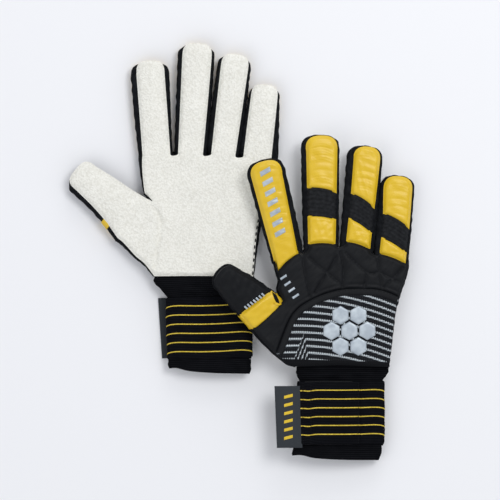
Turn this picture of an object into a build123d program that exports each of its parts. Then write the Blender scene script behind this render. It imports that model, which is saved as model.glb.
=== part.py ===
from build123d import *
import math
import os
from dataclasses import dataclass, field

# A pair of goalkeeper gloves lying on a flat surface, in millimetres.
# The left glove lies palm up. The right glove lies back up, with its index finger and thumb
# resting on the left glove, so it is rolled a few degrees towards its little finger.
# Each glove is a sandwich: a latex palm, side strips of stretch cloth, and a padded back,
# with the space for the hand between them. Each digit is a body of its own, hinged at its root.
# A glove is drawn in its own plane: u across (thumb at negative u), v from wrist to fingertips,
# z up from its lower face, with the origin at the middle of the wrist.

# Layers of a glove, by thickness
GLOVE_THICK = 17.0
LATEX = 3.5
PAD = 4.5
KNIT = 3.2
EMBLEM_HIGH = 1.2
SIDE_WALL = 1.8
BAND_SUNK = 1.0
BAND_COVERED = 0.5  # gap left between a flex band and the pads beside it
THUMB_CAP_FROM = 13.0

# Hinges of the digits
HINGE_GAP = 4.0
HINGE_DEPTH = 3.0
PANEL_INSET = 2.0
TIP_ROUND = 0.40
EDGE_BEVEL = 1.2

# Cuff: an elastic sleeve inside an elastic strap, with a hook-and-loop flap and a pull tab
WRIST_GAP = 2.5
CUFF_GAP = 1.2
SLEEVE_WALL = 1.4
STRAP_WALL = 1.8
CUFF_THICK = 14.0
FIT_GAP = 0.15
HOOK_THICK = 0.65
TAB_THICK = 1.5
FLAP_SLIT = 0.5
BIG = 400.0

# Emblem: a honeycomb of raised silicone cells on the knit panel
CELL_FLATS = 14.0
CELL_PITCH = 15.5
EMBLEM_AT = (5.0, 33.0)

# The seam between the embossed back panel and the knit panel, from the thumb side to the little side
BACK_SEAM = [(-66, -4), (-59, 12), (-44, 45), (-7, 67), (37, 66), (66, 52)]


@dataclass
class Digit:
    name: str
    root: tuple  # middle of its hinge line, in the glove's plane
    lean: float  # degrees from +v towards the little side
    length: float
    root_width: float
    tip_width: float
    band: tuple = None  # flex band: its lower and upper edge on the thumb side, and its drop
    rest_tilt: float = 0.0  # degrees that it is bent back at rest


@dataclass
class Cuff:
    middle: float  # u of the strap's middle
    turn: float  # degrees
    strap: tuple  # v of its lower and upper edge
    strap_width: float
    sleeve_end: float  # v of the cuff's mouth
    flap: tuple  # u of the flap's free end and of its fold
    tab_out: float  # length of the pull tab


@dataclass
class Glove:
    name: str
    palm_up: bool
    wrist: tuple  # place of the wrist's middle in the row frame
    roll: float
    roll_edge: float  # u of the lower edge that it is rolled about
    wrist_half: tuple  # u of the wrist's two ends
    thumb_side: list  # from the thumb's root down to the wrist
    little_side: list  # from the wrist up to the little finger's root
    digits: list = field(default_factory=list)
    cuff: Cuff = None


LEFT = Glove(
    name="left",
    palm_up=True,
    wrist=(-32.14, -21.21),
    roll=0.0,
    roll_edge=0.0,
    wrist_half=(-43.0, 42.0),
    thumb_side=[(-54, 9.5)],
    little_side=[(44.5, 20), (53.5, 61)],
    digits=[
        Digit("index", (-43.4, 104), -2.4, 81.0, 29.0, 33.0),
        Digit("middle", (-12.9, 105), 3.6, 95.4, 28.4, 30.6, band=(28, 50, 4)),
        Digit("ring", (15.1, 104.5), 7.1, 87.0, 26.6, 27.2, band=(29, 49, 13)),
        Digit("little", (46.1, 102.3), 5.5, 62.5, 33.6, 27.0, band=(18, 36, 12)),
        Digit("thumb", (-60.9, 48.5), -50.4, 65.8, 42.0, 32.0),
    ],
    cuff=Cuff(2.4, 1.5, (-70.5, -18.0), 74.0, -84.5, (-19.7, 28.0), 20.5),
)

RIGHT = Glove(
    name="right",
    palm_up=False,
    wrist=(86.56, -101.21),
    roll=6.2,
    roll_edge=58.27,
    wrist_half=(-40.5, 40.0),
    thumb_side=[(-61, 15)],
    little_side=[(43.5, 30), (51, 63)],
    digits=[
        Digit("index", (-48.2, 99.8), -14.6, 83.5, 28.6, 32.0, rest_tilt=7.0),
        Digit("middle", (-18.9, 102.8), -0.2, 98.6, 29.0, 33.0, band=(28, 50, 4)),
        Digit("ring", (12.5, 101.7), 4.2, 90.7, 28.6, 30.0, band=(29, 49, 13)),
        Digit("little", (42.3, 96.6), 5.0, 70.3, 28.4, 28.0, band=(18, 36, 12)),
        Digit("thumb", (-67.5, 50.7), -48.9, 56.6, 39.0, 33.0, rest_tilt=12.5),
    ],
    cuff=Cuff(-2.2, 0.0, (-64.5, -10.5), 73.0, -78.0, (-38.2, 14.0), 20.5),
)


def layer(glove, outer, inner, on_palm):
    """z of a layer whose depths below the palm's or the back's outer face are outer and inner."""
    if on_palm == glove.palm_up:
        return GLOVE_THICK - inner, GLOVE_THICK - outer
    return outer, inner


def slab(face, z_range):
    low, high = z_range
    return extrude(Pos(0, 0, low) * face, amount=high - low, dir=(0, 0, 1))


def together(*shapes):
    """One shape of all the solids of the shapes."""
    return Compound([solid for shape in shapes for solid in shape.solids()])


def polygon(*points):
    return make_face(Polyline(*points, close=True))


def bevelled(solid, glove, on_palm):
    """The slab with its outer edge bevelled, on the palm's or the back's outer face."""
    at_top = on_palm == glove.palm_up
    groups = solid.edges().group_by(Axis.Z)
    return chamfer(groups[-1] if at_top else groups[0], EDGE_BEVEL)


def flat_place(digit):
    """From the digit's own plane, with its hinge line along u, to the glove's plane."""
    u, v = digit.root
    return Location((u, v, 0), (0, 0, -digit.lean))


def hinge_height(glove):
    return GLOVE_THICK - HINGE_DEPTH if glove.palm_up else HINGE_DEPTH


def tilted(glove, digit):
    """Bends the digit back about its hinge line, to how it lies at rest."""
    height = hinge_height(glove)
    return Pos(0, 0, height) * Rot(digit.rest_tilt, 0, 0) * Pos(0, 0, -height)


def glove_place(glove):
    """From the glove's own frame to the row frame."""
    x, y = glove.wrist
    roll = Pos(glove.roll_edge, 0, 0) * Rot(0, glove.roll, 0) * Pos(-glove.roll_edge, 0, 0)
    return Pos(x, y, 0) * roll


def digit_face(digit, inset=0.0, start=HINGE_GAP):
    """The digit's outline: a slightly tapered strip with a rounded tip."""
    root = digit.root_width / 2 - inset
    tip = digit.tip_width / 2 - inset
    end = digit.length - inset
    face = polygon((-root, start), (root, start), (tip, end), (-tip, end))
    corners = face.vertices().sort_by(Axis.Y)[-2:]
    return fillet(corners, TIP_ROUND * digit.tip_width - inset)


def strip_below(v_thumb_side, drop):
    """Everything nearer to the root than a line that drops towards the little side."""
    half = 20.0
    slope = drop / (2 * half)
    left, right = v_thumb_side, v_thumb_side - drop
    reach = 3 * half
    return polygon(
        (-reach, left + slope * (reach - half)),
        (reach, right - slope * (reach - half)),
        (reach, -BIG),
        (-reach, -BIG),
    )


def digit_parts(glove, digit):
    """{part name: solids} of one digit, in the digit's own plane."""
    panel = digit_face(digit, PANEL_INSET)
    parts = {}
    latex = slab(panel, layer(glove, 0, LATEX, on_palm=True))
    parts["latex"] = bevelled(latex, glove, on_palm=True)

    ring = digit_face(digit) - digit_face(digit, SIDE_WALL, start=0)
    walls = []
    for side in (-1, 1):
        half = ring & (Pos(side * BIG / 2, 0) * Rectangle(BIG, BIG))
        walls.append(slab(half, layer(glove, LATEX, GLOVE_THICK - PAD, on_palm=True)))
    parts["side_strips"] = together(*walls)

    back = layer(glove, 0, PAD, on_palm=False)
    if digit.band:
        low, high, drop = digit.band
        lower = panel & strip_below(low - BAND_COVERED, drop)
        upper = panel - strip_below(high + BAND_COVERED, drop)
        pads = [bevelled(slab(f, back), glove, on_palm=False) for f in (lower, upper)]
        parts["back_pads"] = together(*pads)
        band = (panel & strip_below(high, drop)) - strip_below(low, drop)
        parts["flex_band"] = slab(band, layer(glove, BAND_SUNK, PAD, on_palm=False))
    elif digit.name == "thumb":
        split = strip_below(THUMB_CAP_FROM, 0)
        parts["back_band"] = slab(panel & split, back)
        parts["back_cap"] = bevelled(slab(panel - split, back), glove, on_palm=False)
    else:
        parts["back_pad"] = bevelled(slab(panel, back), glove, on_palm=False)
    return parts


def hinge_ends(digit, setback):
    """The two ends of the digit's root line, thumb side first, set back into the hand."""
    place = flat_place(digit)
    half = digit.root_width / 2
    ends = [place * Pos(side * half, -setback, 0) for side in (-1, 1)]
    return [(e.position.X, e.position.Y) for e in ends]


def wrist_start(glove):
    return 0.0 if glove.palm_up else WRIST_GAP


def root_ends(glove):
    """The root line's ends of each digit, on the hand's side of its hinge."""
    return {d.name: hinge_ends(d, HINGE_GAP) for d in glove.digits}


def hand_edges(glove):
    """The free edges of the hand: the little side, above the thumb, and the thumb side."""
    roots = root_ends(glove)
    low, high = glove.wrist_half
    start = wrist_start(glove)
    thumb_low, thumb_high = roots["thumb"]
    return [
        Spline((high, start), *glove.little_side, roots["little"][1]),
        Line(roots["index"][0], thumb_high),
        Spline(thumb_low, *glove.thumb_side, (low, start)),
    ]


def strip_inside(edge):
    """A strip as wide as a side wall, on the left of an edge that runs around the hand."""
    start, end = edge @ 0, edge @ 1
    along = (end - start).normalized()
    shift = Vector(-along.Y, along.X) * SIDE_WALL
    inner = Pos(*shift) * edge
    return make_face([edge, inner, Line(start, start + shift), Line(end, end + shift)])


def hand_face(glove):
    """The outline of the hand without its digits."""
    roots = root_ends(glove)
    low, high = glove.wrist_half
    start = wrist_start(glove)
    fingers = []
    for name in ("little", "ring", "middle", "index"):
        thumb_end, little_end = roots[name]
        fingers += [little_end, thumb_end]
    little_side, web, thumb_side = hand_edges(glove)
    wrist = Line((low, start), (high, start))
    thumb_root = Line(*roots["thumb"])
    return make_face([wrist, little_side, Polyline(*fingers), web, thumb_root, thumb_side])


def below_seam():
    """The region of the glove's plane on the wrist side of the seam across the back."""
    first, last = BACK_SEAM[0], BACK_SEAM[-1]
    seam = Spline(*BACK_SEAM)
    rest = Polyline(last, (last[0], -BIG), (first[0], -BIG), first)
    return make_face([seam, rest])


def hexagon_cells():
    """Centres of the emblem's seven cells."""
    ring = [
        (CELL_PITCH * math.cos(math.radians(60 * i)), CELL_PITCH * math.sin(math.radians(60 * i)))
        for i in range(6)
    ]
    u, v = EMBLEM_AT
    return [(u + x, v + y) for x, y in [(0, 0), *ring]]


def hand_parts(glove):
    """{part name: solids} of the hand, in the glove's own frame."""
    face = hand_face(glove)
    parts = {}
    palm = slab(face, layer(glove, 0, LATEX, on_palm=True))
    parts["palm_latex"] = bevelled(palm, glove, on_palm=True)

    knit = face & below_seam()
    parts["backhand_panel"] = slab(face - below_seam(), layer(glove, 0, PAD, on_palm=False))
    parts["knit_panel"] = slab(knit, layer(glove, EMBLEM_HIGH, EMBLEM_HIGH + KNIT, on_palm=False))
    cells = [
        slab(Pos(*at) * RegularPolygon(CELL_FLATS / 2, 6, major_radius=False, rotation=30),
             layer(glove, 0, EMBLEM_HIGH, on_palm=False))
        for at in hexagon_cells()
    ]
    parts["emblem_cells"] = together(*cells)

    between = layer(glove, LATEX, GLOVE_THICK - PAD, on_palm=True)
    walls = [slab(strip_inside(edge), between) for edge in hand_edges(glove)]
    parts["hand_side_strips"] = together(*walls)
    return parts


def flat_tube(width, thick, wall, v_range, z_middle):
    """A flattened tube along v, open at both ends."""
    low, high = v_range
    section = Plane(origin=(0, low, z_middle), x_dir=(1, 0, 0), z_dir=(0, 1, 0))
    outer = RectangleRounded(width, thick, thick / 2 - 0.05)
    inner = RectangleRounded(width - 2 * wall, thick - 2 * wall, (thick - 2 * wall) / 2 - 0.05)
    return extrude(section * (outer - inner), amount=high - low, dir=(0, 1, 0))


def cuff_levels(glove):
    """Middle height of the cuff's tube, and the way that its back faces."""
    if glove.palm_up:
        overlap = GLOVE_THICK - CUFF_THICK
        return overlap + CUFF_THICK / 2, -1
    return CUFF_THICK / 2, 1


def cuff_parts(glove):
    """{part name: solids} of the cuff, in the glove's own frame."""
    cuff = glove.cuff
    middle, facing = cuff_levels(glove)
    place = Location((cuff.middle, 0, 0), (0, 0, cuff.turn))
    low, high = cuff.strap
    strap_middle, strap_high = (low + high) / 2, high - low

    def back_layer(u_range, depth_range):
        """A flat layer on the back of the strap, at depths above the strap's own face."""
        a, b = (middle + facing * (CUFF_THICK / 2 + d) for d in depth_range)
        u0, u1 = u_range
        face = Pos((u0 + u1) / 2 - cuff.middle, strap_middle) * Rectangle(u1 - u0, strap_high)
        return slab(face, (min(a, b), max(a, b)))

    sleeve_width = cuff.strap_width - 2 * (STRAP_WALL + FIT_GAP)
    sleeve_thick = CUFF_THICK - 2 * (STRAP_WALL + FIT_GAP)
    top = -max(wrist_start(glove), CUFF_GAP)
    sleeve = flat_tube(sleeve_width, sleeve_thick, SLEEVE_WALL, (cuff.sleeve_end, top), middle)
    strap = flat_tube(cuff.strap_width, CUFF_THICK, STRAP_WALL, cuff.strap, middle)

    overlap = GLOVE_THICK - CUFF_THICK
    free_end, fold = cuff.flap
    shoulder = cuff.middle + cuff.strap_width / 2 - CUFF_THICK / 2
    raised = back_layer((fold + FLAP_SLIT, max(shoulder, fold + 6)), (-0.5, overlap))
    flap_low = FIT_GAP + HOOK_THICK
    parts = {
        "cuff_sleeve": sleeve,
        "wrist_strap": strap + raised,
        "strap_flap": back_layer((free_end, fold), (flap_low, overlap)),
        "hook_patch": back_layer((free_end + 3, fold - 8), (FIT_GAP, flap_low)),
        "pull_tab": back_layer((free_end - cuff.tab_out, free_end), (overlap - TAB_THICK, overlap)),
    }
    return {name: place * solids for name, solids in parts.items()}


def glove_nodes(glove):
    """{node name: solids in the row frame} of one glove."""
    place = glove_place(glove)
    nodes = {}
    for name, solids in {**hand_parts(glove), **cuff_parts(glove)}.items():
        nodes[f"{glove.name}_{name}"] = place * solids
    for digit in glove.digits:
        to_row = place * flat_place(digit) * tilted(glove, digit)
        for name, solids in digit_parts(glove, digit).items():
            nodes[f"{glove.name}_{digit.name}_{name}"] = to_row * solids
    return nodes


def main():
    os.makedirs("parts", exist_ok=True)
    for glove in (LEFT, RIGHT):
        for name, solids in glove_nodes(glove).items():
            export_step(solids, f"parts/{name}.step")


main()
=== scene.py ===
import math
from dataclasses import dataclass

import bmesh
import bpy
import numpy as np
from mathutils import Matrix, Vector
from mathutils.geometry import delaunay_2d_cdt


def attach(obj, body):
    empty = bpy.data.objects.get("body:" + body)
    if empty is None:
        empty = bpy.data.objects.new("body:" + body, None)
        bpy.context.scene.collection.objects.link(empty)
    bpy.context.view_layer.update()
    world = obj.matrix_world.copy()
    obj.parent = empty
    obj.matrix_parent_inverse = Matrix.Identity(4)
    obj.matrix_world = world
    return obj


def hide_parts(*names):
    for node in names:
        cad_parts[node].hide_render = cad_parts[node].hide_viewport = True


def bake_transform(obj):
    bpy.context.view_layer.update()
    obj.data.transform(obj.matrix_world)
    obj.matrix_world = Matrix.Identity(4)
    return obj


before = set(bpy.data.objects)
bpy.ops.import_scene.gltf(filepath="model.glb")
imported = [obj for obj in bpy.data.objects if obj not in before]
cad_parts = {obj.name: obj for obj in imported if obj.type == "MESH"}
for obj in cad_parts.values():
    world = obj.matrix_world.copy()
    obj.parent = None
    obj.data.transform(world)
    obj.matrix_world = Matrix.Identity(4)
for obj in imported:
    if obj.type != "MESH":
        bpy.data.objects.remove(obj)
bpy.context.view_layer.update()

# ---------------------------------------------------------------------------------------------
# Sizes, in millimetres. A glove is drawn in its own plane: u across, with the thumb at negative
# u, v from the wrist to the fingertips, and z up from its lower face. A digit is drawn in its own
# frame: x across, y along it from its hinge line.

MM = 0.001
SAME_POINT = 0.05  # points nearer to each other than this count as one
THICK = 17.0  # a glove, from the palm's face to the back's
LATEX = 3.5
PAD = 4.5
HINGE_DEPTH = 3.0
BEND_FROM, BEND_TO = 2.0, 28.0  # y in a digit's frame, near its hinge line and further up

# The stretch cloth between the palm's and the back's panels
CLOTH = 0.9
TUCK = 1.2  # how far its edges go in under a panel
PALM_SEAM, DIGIT_SEAM, BACK_SEAM_DEPTH = 2.9, 4.2, 3.6  # depths of its edges
GUSSET_BASE = (2.0, 2.0)  # y of its lower ends on a digit: left, right
GUSSET_ROWS = 14


@dataclass
class Rim:
    """The edges of a panel of a digit: offsets from its middle line, from the root to the tip."""

    left: tuple
    right: tuple
    base: tuple = (0.5, 0.5)  # y of its lower edge, left and right
    arch: float = 0.0  # rise of that edge's middle


@dataclass
class Digit:
    name: str
    root: tuple
    lean: float
    length: float
    outer: Rim
    seen: Rim  # the panel on the glove's upper face
    tilt: float = 0.0
    band: tuple = None  # y of the flex band's upper and lower edge: left, right
    snub: float = 12.0  # length of the rounded tip


@dataclass
class Glove:
    name: str
    palm_up: bool
    wrist: tuple
    digits: list
    little_side: list
    thumb_side: list
    web: list
    roll: float = 0.0
    roll_edge: float = 0.0
    little_inset: tuple = (2.0, 1.0)
    hand_body: str = ""
    cuff_body: str = ""


LEFT = Glove(
    name="left",
    palm_up=True,
    wrist=(-32.14, -21.21),
    hand_body="left_glove",
    cuff_body="left_glove",
    digits=[
        Digit("index", (-43.4, 104), -2.4, 81.3,
              Rim((-14.0, -16.4, -17.8), (15.4, 15.4, 15.6)),
              Rim((-10.3, -11.5, -12.7), (13.6, 12.6, 11.5))),
        Digit("middle", (-12.9, 105), 3.6, 95.4,
              Rim((-13.8, -15.0, -16.1), (14.4, 15.6, 15.8)),
              Rim((-10.3, -11.1, -11.9), (11.1, 12.4, 13.3)),
              band=((51.0, 47.0), (29.0, 26.0))),
        Digit("ring", (15.1, 104.5), 7.1, 87.0,
              Rim((-14.2, -14.6, -14.2), (14.4, 15.2, 15.0)),
              Rim((-9.8, -10.4, -10.9), (11.0, 11.9, 12.7)),
              band=((48.0, 36.0), (28.0, 16.0))),
        Digit("little", (46.1, 102.3), 5.5, 62.5,
              Rim((-17.4, -16.0, -13.9), (17.0, 15.3, 13.3)),
              Rim((-13.1, -12.5, -11.6), (11.0, 11.2, 11.3)),
              band=((35.0, 24.0), (17.0, 5.0))),
        Digit("thumb", (-60.9, 48.5), -50.4, 66.4,
              Rim((-24.9, -20.3, -17.6, -16.7), (20.8, 17.8, 16.1, 13.7)),
              Rim((-21.6, -16.8, -13.9, -12.4), (21.4, 18.5, 16.8, 14.2), base=(1.0, 1.0))),
    ],
    little_side=[(57.5, 84.0), (54.2, 65.3), (47.3, 37.8), (42.1, -1.0)],
    thumb_side=[(-72.3, 26.6), (-61.1, 15.4), (-53.3, 9.4), (-44.5, -1.0)],
    web=[(-49.0, 67.2), (-52.6, 70.6), (-54.4, 78.0), (-56.6, 92.0)],
    little_inset=(5.4, 0.8),
)

RIGHT = Glove(
    name="right",
    palm_up=False,
    wrist=(84.8, -101.21),
    roll=6.2,
    roll_edge=58.27,
    hand_body="right_hand",
    cuff_body="right_cuff",
    digits=[
        Digit("index", (-48.2, 99.8), -14.6, 84.0,
              Rim((-14.6, -16.4, -17.5), (14.4, 15.4, 15.6)),
              Rim((-13.0, -13.9, -14.8), (9.2, 10.8, 12.2), base=(-14.6, -2.9), arch=2.4),
              tilt=7.0),
        Digit("middle", (-18.9, 102.8), -0.2, 98.6,
              Rim((-15.0, -16.2, -16.9), (15.5, 16.0, 16.4)),
              Rim((-11.6, -12.4, -13.2), (12.2, 13.2, 14.2), base=(3.9, 3.9), arch=1.6),
              band=((52.0, 47.6), (29.1, 26.1))),
        Digit("ring", (12.5, 101.7), 4.2, 90.7,
              Rim((-15.4, -15.2, -14.9), (14.8, 15.8, 16.4)),
              Rim((-11.2, -9.9, -9.6), (10.9, 12.3, 13.8), base=(6.7, 1.4), arch=1.6),
              band=((48.2, 36.0), (28.4, 16.2))),
        Digit("little", (42.3, 96.6), 5.0, 70.3,
              Rim((-15.4, -15.6, -15.0), (15.2, 15.4, 15.0)),
              Rim((-11.4, -11.0, -12.4), (12.3, 12.9, 12.6), base=(1.4, -5.3), arch=1.2),
              band=((35.8, 24.5), (16.6, 4.7))),
        Digit("thumb", (-67.5, 50.7), -48.9, 56.6,
              Rim((-20.5, -18.8, -17.6, -15.0), (18.0, 16.6, 14.6, 11.2)),
              Rim((-19.3, -17.6, -16.5, -14.0), (16.8, 15.5, 13.6, 10.2), base=(-2.5, -6.5)),
              tilt=12.5),
    ],
    little_side=[(57.2, 84.0), (50.5, 63.5), (46.3, 48.0), (43.8, 27.5), (40.6, 1.5)],
    thumb_side=[(-74.0, 26.6), (-62.0, 14.6), (-56.8, 10.3), (-49.1, 4.0), (-41.5, 1.5)],
    web=[(-57.6, 68.5), (-57.0, 72.0), (-56.6, 77.0)],
    little_inset=(1.8, 1.2),
)


@dataclass
class Cuff:
    """A glove's cuff, in the glove's plane."""

    middle: float
    turn: float
    strap: tuple  # v of its lower and upper edge
    width: float
    throat: tuple  # the sleeve where it enters the hand: its middle, its half width and how long it widens
    hem: tuple  # v of the sleeve's lower edge: left, right
    hem_width: tuple  # its middle, from the cuff's, and its half width
    flap: tuple  # u of the strap end's free end and of its fold
    tab: float
    stripes: tuple  # v of the first and the last pinstripe


CUFFS = {
    "left": Cuff(
        middle=2.4,
        turn=1.5,
        strap=(-70.5, -18.0),
        width=74.0,
        throat=(-1.0, 43.5, 18.0),
        hem=(-80.0, -85.6),
        hem_width=(-0.8, 35.6),
        flap=(-19.7, 28.0),
        tab=20.5,
        stripes=(-25.2, -64.6),
    ),
    "right": Cuff(
        middle=-1.2,
        turn=0.0,
        strap=(-64.5, -10.5),
        width=76.0,
        throat=(0.3, 40.8, 13.0),
        hem=(-75.4, -79.0),
        hem_width=(-4.6, 38.2),
        flap=(-38.2, 14.0),
        tab=20.5,
        stripes=(-17.9, -55.7),
    ),
}
CUFF_THICK = 14.0
STRAP_WALL = 1.8
SLEEVE_WALL = 1.4
PINSTRIPES = 6
TUBE_TURNS = 150  # points round a cuff

# The back of a glove: the seam between its embossed panel and the knit, the quilting and the emblem
BACK_SEAM = [
    (-66.0, -4.0), (-58.5, 12.0), (-44.8, 45.1), (-29.3, 58.5), (-6.9, 67.1), (14.6, 68.8), (36.9, 66.2),
    (66.0, 52.0),
]
QUILT = [
    [(-35.6, 101.0), (-33.5, 84.0), (-29.0, 63.0)],
    [(-29.3, 95.4), (-0.9, 72.2)],
    [(-6.1, 96.3), (-25.0, 66.0)],
    [(-2.6, 101.0), (0.0, 86.0), (-0.9, 70.0)],
    [(2.2, 99.7), (20.3, 83.4), (31.3, 83.4)],
    [(20.3, 83.4), (18.0, 70.0)],
    [(29.0, 98.0), (31.3, 83.4), (33.5, 68.2)],
    [(31.3, 83.4), (47.8, 74.8)],
    [(52.2, 87.7), (33.5, 69.2)],
]
BACK_MARKS = [(-52.0, 79.0), (-48.5, 73.6), (-45.0, 68.2), (-41.5, 62.8)]
CELL_FLATS = 14.0
CELL_PITCH = 15.5
CELL_PROFILE = ((0.0, 1.6), (0.1, 0.55), (0.45, 0.18), (1.2, 0.02), (2.4, 0.0))  # inset, depth
CELL_SIDE = 4  # points on each of a cell's six sides
EMBLEM_AT = (5.0, 33.0)


# ---------------------------------------------------------------------------------------------
# Places


def shift(x=0.0, y=0.0, z=0.0):
    return Matrix.Translation((x, y, z))


def turned(axis, degrees):
    return Matrix.Rotation(math.radians(degrees), 4, axis)


def glove_place(glove):
    x, y = glove.wrist
    return shift(x, y) @ shift(glove.roll_edge) @ turned("Y", glove.roll) @ shift(-glove.roll_edge)


def flat_place(digit):
    return shift(*digit.root) @ turned("Z", -digit.lean)


def digit_place(glove, digit):
    height = THICK - HINGE_DEPTH if glove.palm_up else HINGE_DEPTH
    bent = shift(z=height) @ turned("X", digit.tilt) @ shift(z=-height)
    return glove_place(glove) @ flat_place(digit) @ bent


def world_point(place, y):
    """A point of a place's middle line, half way up the glove, in metres."""
    return tuple(MM * c for c in place @ Vector((0, y, THICK / 2)))


def in_plane(digit, points):
    """Points of a digit's frame, in its glove's plane."""
    m = np.array(flat_place(digit))
    return np.asarray(points) @ m[:2, :2].T + m[:2, 3]


def in_digit(digit, points):
    m = np.array(flat_place(digit).inverted())
    return np.asarray(points) @ m[:2, :2].T + m[:2, 3]


def upper(depth):
    return THICK - depth


def lower(depth):
    return depth


def face_of(glove, on_palm):
    """Turns a depth below the palm's or the back's outer face into a height."""
    return upper if on_palm == glove.palm_up else lower


# ---------------------------------------------------------------------------------------------
# Lines in a plane


def curve(points, step=1.0):
    """A smooth line through the points."""
    p = np.asarray(points, float)
    if len(p) == 2:
        return spaced(p, step)
    q = np.vstack([2 * p[0] - p[1], p, 2 * p[-1] - p[-2]])
    t = np.linspace(0, 1, 16, endpoint=False)[:, None]
    out = []
    for a, b, c, d in zip(q, q[1:], q[2:], q[3:]):
        square, cube = 2 * a - 5 * b + 4 * c - d, 3 * b - a - 3 * c + d
        out.append(0.5 * (2 * b + (c - a) * t + square * t**2 + cube * t**3))
    return spaced(np.vstack([*out, p[-1:]]), step)


def lengths(line):
    return np.concatenate([[0], np.cumsum(np.linalg.norm(np.diff(line, axis=0), axis=1))])


def spaced(line, step=1.0, count=None):
    """The same line with evenly spaced points."""
    line = np.asarray(line, float)
    at = lengths(line)
    count = count or max(int(round(at[-1] / step)), 1) + 1
    t = np.linspace(0, at[-1], count)
    return np.column_stack([np.interp(t, at, line[:, k]) for k in range(line.shape[1])])


def joined(*lines):
    """The lines one after another, without the points that repeat."""
    out = [np.asarray(lines[0], float)]
    for line in lines[1:]:
        line = np.asarray(line, float)
        out.append(line[1:] if np.linalg.norm(line[0] - out[-1][-1]) < SAME_POINT else line)
    return np.vstack(out)


def closed(ring):
    """The ring with its first point again at its end."""
    return np.vstack([ring, ring[:1]])


def sideways(line):
    """Unit normals on the left of the line."""
    along = np.gradient(line, axis=0)
    along /= np.linalg.norm(along, axis=1)[:, None]
    return np.column_stack([-along[:, 1], along[:, 0]])


def moved_in(line, first, last):
    """The line moved to its left, by an amount that changes from its start to its end."""
    at = lengths(line)
    return line + sideways(line) * np.interp(at, (0, at[-1]), (first, last))[:, None]


def cut_at(line, point):
    """The line's two parts, before and after its point nearest to the given one."""
    k = int(np.argmin(np.linalg.norm(line - np.asarray(point), axis=1)))
    k = min(max(k, 1), len(line) - 2)
    return line[: k + 1], line[k:]


def distance(points, line):
    """How far each point is from the line."""
    line = np.asarray(line, float)
    a, d = line[:-1], np.diff(line, axis=0)
    square = np.maximum((d * d).sum(1), 1e-12)
    best = np.full(len(points), 1e9)
    for start in range(0, len(points), 4000):
        p = points[start : start + 4000, None, :]
        t = np.clip(((p - a) * d).sum(2) / square, 0, 1)
        gap = np.linalg.norm(p - a - t[..., None] * d, axis=2)
        best[start : start + 4000] = gap.min(1)
    return best


def inside(points, ring):
    a, b = ring, np.roll(ring, -1, 0)
    hits = np.zeros(len(points), bool)
    for (x0, y0), (x1, y1) in zip(a, b):
        if y0 == y1:
            continue
        crosses = (points[:, 1] < y0) != (points[:, 1] < y1)
        hits ^= crosses & (points[:, 0] < x0 + (points[:, 1] - y0) / (y1 - y0) * (x1 - x0))
    return hits


def ease(t):
    t = np.clip(t, 0, 1)
    return t * t * (3 - 2 * t)


def ripple(x, y, size, seed):
    """Smooth irregular waves from -1 to 1, about as long as size."""
    rng = np.random.default_rng(seed)
    total = 0
    for _ in range(5):
        angle, phase = rng.uniform(0, math.tau, 2)
        k = math.tau / (size * rng.uniform(0.7, 1.5))
        total = total + np.sin(k * (x * math.cos(angle) + y * math.sin(angle)) + phase)
    return total / 3.2


# ---------------------------------------------------------------------------------------------
# Meshes

SHARP = math.radians(42)  # a steeper edge isn't shaded smooth
EDGE_ROWS = (0.3, 0.75, 1.4, 2.2)  # insets of the rows of points beside a panel's outline
UV_PER_MM = 0.01


def make_piece(name, points, faces, place, pattern, finish, sharp=SHARP):
    """A mesh piece from points in millimetres, with its pattern's coordinates in its UV map."""
    m = np.array(place)
    world = (np.asarray(points) @ m[:3, :3].T + m[:3, 3]) * MM
    mesh = bpy.data.meshes.new(name)
    mesh.from_pydata(world.tolist(), [], [list(map(int, f)) for f in faces])
    work = bmesh.new()
    work.from_mesh(mesh)
    bmesh.ops.recalc_face_normals(work, faces=work.faces)
    work.to_mesh(mesh)
    work.free()
    layer = mesh.uv_layers.new(name="Pattern")
    corners = np.empty(len(mesh.loops), int)
    mesh.loops.foreach_get("vertex_index", corners)
    layer.data.foreach_set("uv", (np.asarray(pattern)[corners] * UV_PER_MM).astype(np.float32).ravel())
    mesh.shade_smooth()
    mesh.set_sharp_from_angle(angle=sharp)
    mesh.materials.append(finish)
    piece = bpy.data.objects.new(name, mesh)
    bpy.context.collection.objects.link(piece)
    return piece


def fill(ring, step):
    """Points and triangles that fill a closed line evenly, denser beside the line."""
    ahead, behind = np.roll(ring, -1, 0), np.roll(ring, 1, 0)
    area = (ring[:, 0] * ahead[:, 1] - ahead[:, 0] * ring[:, 1]).sum()
    if area < 0:
        return fill(ring[::-1], step)
    along = ahead - behind
    along /= np.maximum(np.linalg.norm(along, axis=1), 1e-9)[:, None]
    inward = np.column_stack([-along[:, 1], along[:, 0]])
    rows = [ring]
    for inset in EDGE_ROWS:
        row = ring + inward * inset
        row = row[inside(row, ring)]
        rows.append(row[distance(row, closed(ring)) > 0.92 * inset])
    low, high = ring.min(0), ring.max(0)
    ys = np.arange(low[1], high[1], step * 0.87)
    xs = np.arange(low[0], high[0], step)
    grid = np.array([(x + (j % 2) * step / 2, y) for j, y in enumerate(ys) for x in xs])
    grid = grid[inside(grid, ring)]
    grid = grid[distance(grid, closed(ring)) > EDGE_ROWS[-1] + 0.6 * step]
    points = np.vstack([*rows, grid])
    n = len(ring)
    loop = [(i, (i + 1) % n) for i in range(n)]
    out = delaunay_2d_cdt([Vector(p) for p in points], loop, [], 1, 1e-5)
    return np.array([tuple(p) for p in out[0]]), np.array(out[2])


def rim_of(triangles):
    """The edges that only one triangle has, in that triangle's direction."""
    edges = np.vstack([triangles[:, [0, 1]], triangles[:, [1, 2]], triangles[:, [2, 0]]])
    known = {(a, b) for a, b in edges.tolist()}
    return [(a, b) for a, b in known if (b, a) not in known]


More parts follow.
